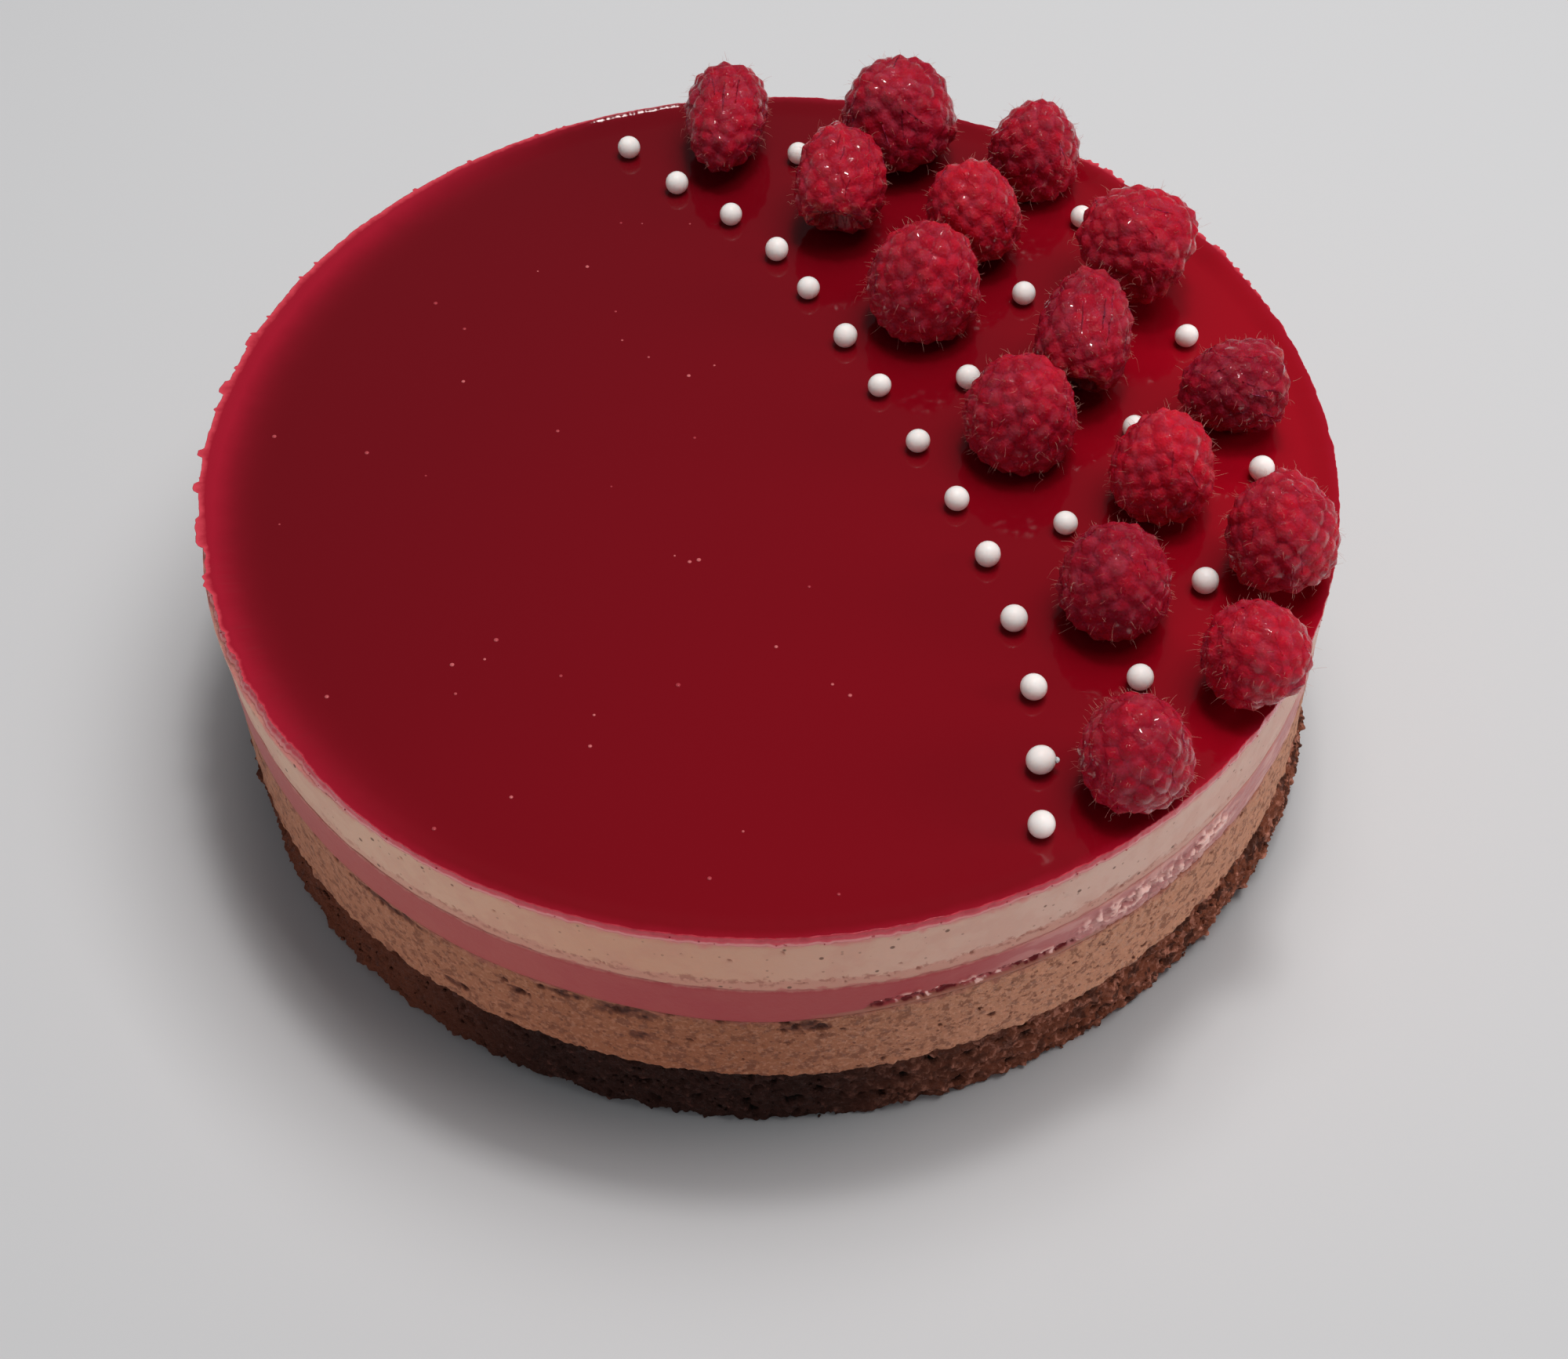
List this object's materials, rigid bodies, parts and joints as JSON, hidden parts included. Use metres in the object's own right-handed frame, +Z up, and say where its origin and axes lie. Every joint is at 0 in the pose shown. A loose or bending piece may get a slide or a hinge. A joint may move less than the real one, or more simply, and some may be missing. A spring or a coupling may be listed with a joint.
{
  "type": "raspberry mousse cake",
  "caption": "Round layered mousse cake on a chocolate sponge, with a glossy red jelly glaze, whole raspberries and white sugar pearls along one side.",
  "frame": {"origin": "centre of the sponge's flat foot, on the surface the cake stands on", "axes": "+Z up; -Y towards the side that the picture shows, +X towards the side with the raspberries"},
  "size_m": [0.2215, 0.2204, 0.0866],
  "materials": {
    "sponge": "dark, open cocoa crumb",
    "praline_mousse": "tan, pitted and satin",
    "raspberry_layer": "muted rose, smooth and satin",
    "cream_mousse": "beige, satin, with fine specks",
    "glaze": "deep crimson, translucent and very glossy",
    "raspberry": "crimson with a soft bloom",
    "sugar_pearl": "warm white, satin"
  },
  "bodies": {
    "root": {"sponge": "sponge", "praline_mousse": "praline_mousse", "raspberry_layer": "raspberry_layer", "cream_mousse": "cream_mousse", "glaze": "glaze", "raspberry_01": "raspberry", "raspberry_02": "raspberry", "raspberry_03": "raspberry", "raspberry_04": "raspberry", "raspberry_05": "raspberry", "raspberry_06": "raspberry", "raspberry_07": "raspberry", "raspberry_08": "raspberry", "raspberry_09": "raspberry", "raspberry_10": "raspberry", "raspberry_11": "raspberry", "raspberry_12": "raspberry", "raspberry_13": "raspberry", "raspberry_14": "raspberry", "raspberry_15": "raspberry"}
  },
  "joints": []
}
